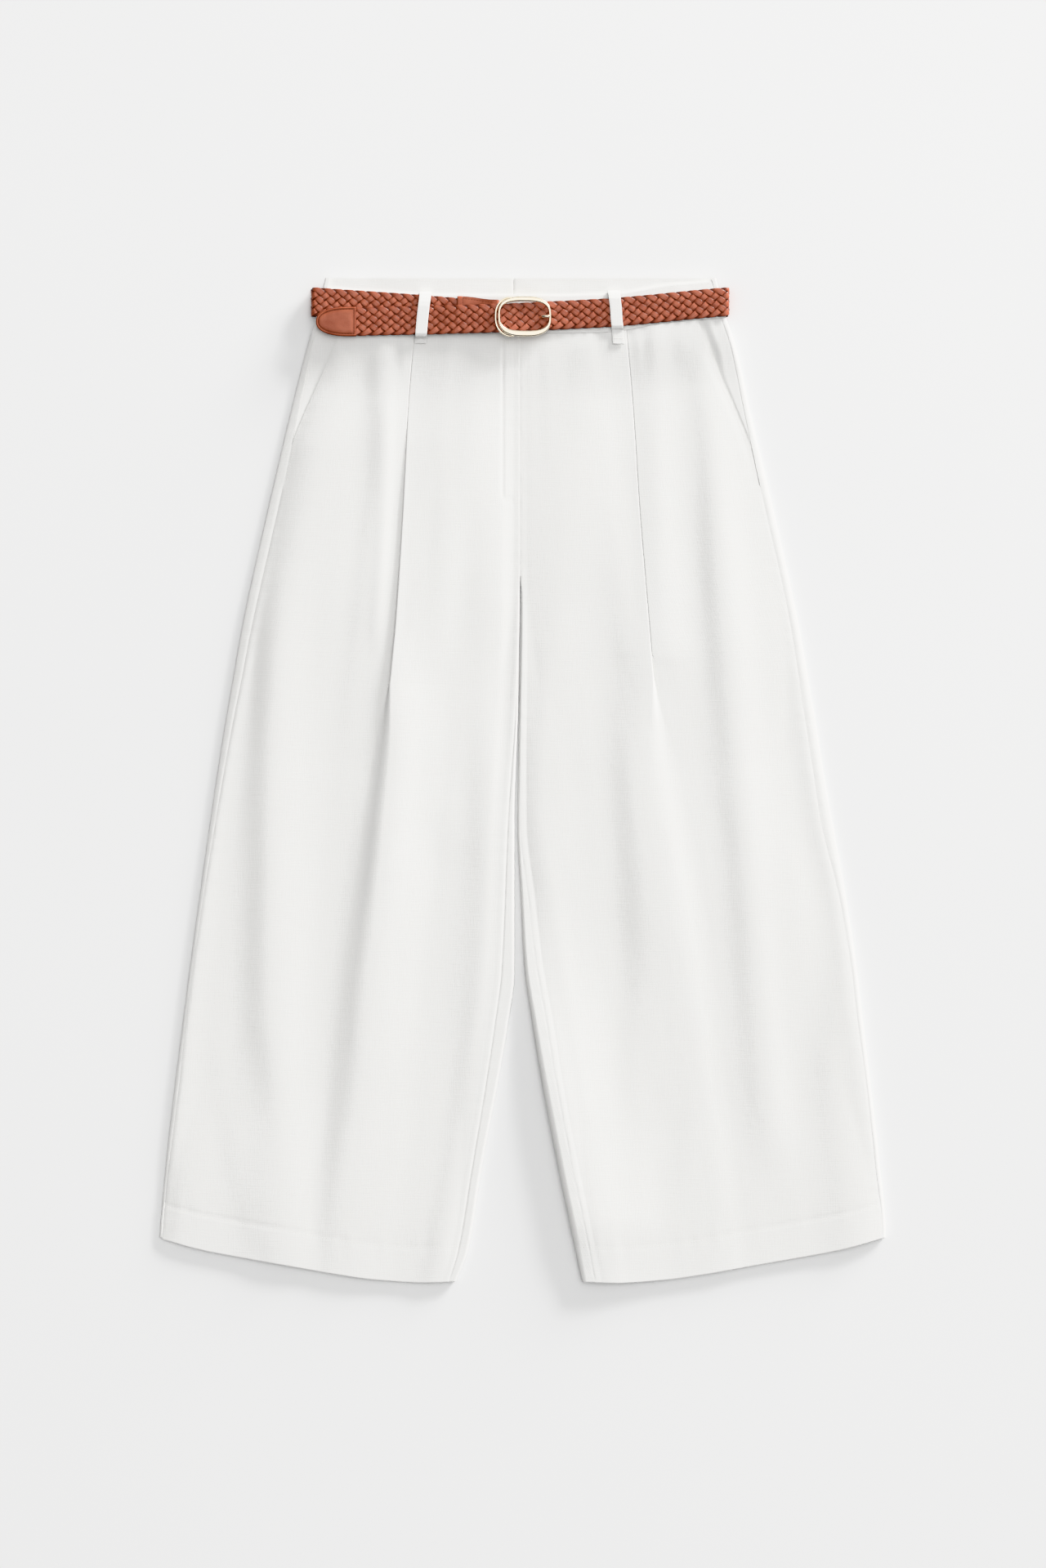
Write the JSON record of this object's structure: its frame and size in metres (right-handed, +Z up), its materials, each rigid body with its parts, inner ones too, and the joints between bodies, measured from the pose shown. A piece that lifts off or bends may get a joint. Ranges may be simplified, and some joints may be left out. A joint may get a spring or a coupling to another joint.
{
  "type": "barrel leg trousers",
  "caption": "Wide barrel leg trousers laid flat, with forward pleats, slanted hip pockets, a fly and a braided leather belt with an oval buckle.",
  "frame": {"origin": "under the middle of the bounding box, on the surface that the trousers lie on", "axes": "+Z up from that surface, +Y along the legs towards the waist, +X towards the wearer's left"},
  "size_m": [0.6405, 0.8852, 0.0187],
  "materials": {
    "cloth": "off-white plain woven cotton and linen, matt",
    "pocketing": "plain light pocket cloth, matt",
    "zip_tape": "woven tape, matt",
    "braided_leather": "cognac brown braided leather strands, semi-gloss",
    "smooth_leather": "cognac brown smooth leather, semi-gloss",
    "gold_metal": "pale gold plate, polished"
  },
  "bodies": {
    "root": {"front_leg_left": "cloth", "front_leg_right": "cloth", "back_leg_left": "cloth", "back_leg_right": "cloth", "waistband_front_left": "cloth", "waistband_front_right": "cloth", "waistband_back_left": "cloth", "waistband_back_right": "cloth", "pocket_facing_left": "cloth", "pocket_facing_right": "cloth", "pocket_bag_left": "pocketing", "pocket_bag_right": "pocketing", "fly_facing": "cloth", "fly_shield": "cloth", "fly_zip": "zip_tape", "hem_front_left": "cloth", "hem_front_right": "cloth", "hem_back_left": "cloth", "hem_back_right": "cloth", "belt_loop_front_left": "cloth", "belt_loop_front_right": "cloth", "belt_loop_back_left": "cloth", "belt_loop_back_centre": "cloth", "belt_loop_back_right": "cloth", "belt_strap": "braided_leather", "belt_tip": "smooth_leather", "belt_chape": "smooth_leather", "belt_keeper": "smooth_leather", "buckle_ring": "gold_metal", "buckle_loop": "gold_metal", "buckle_prong": "gold_metal"}
  },
  "joints": []
}
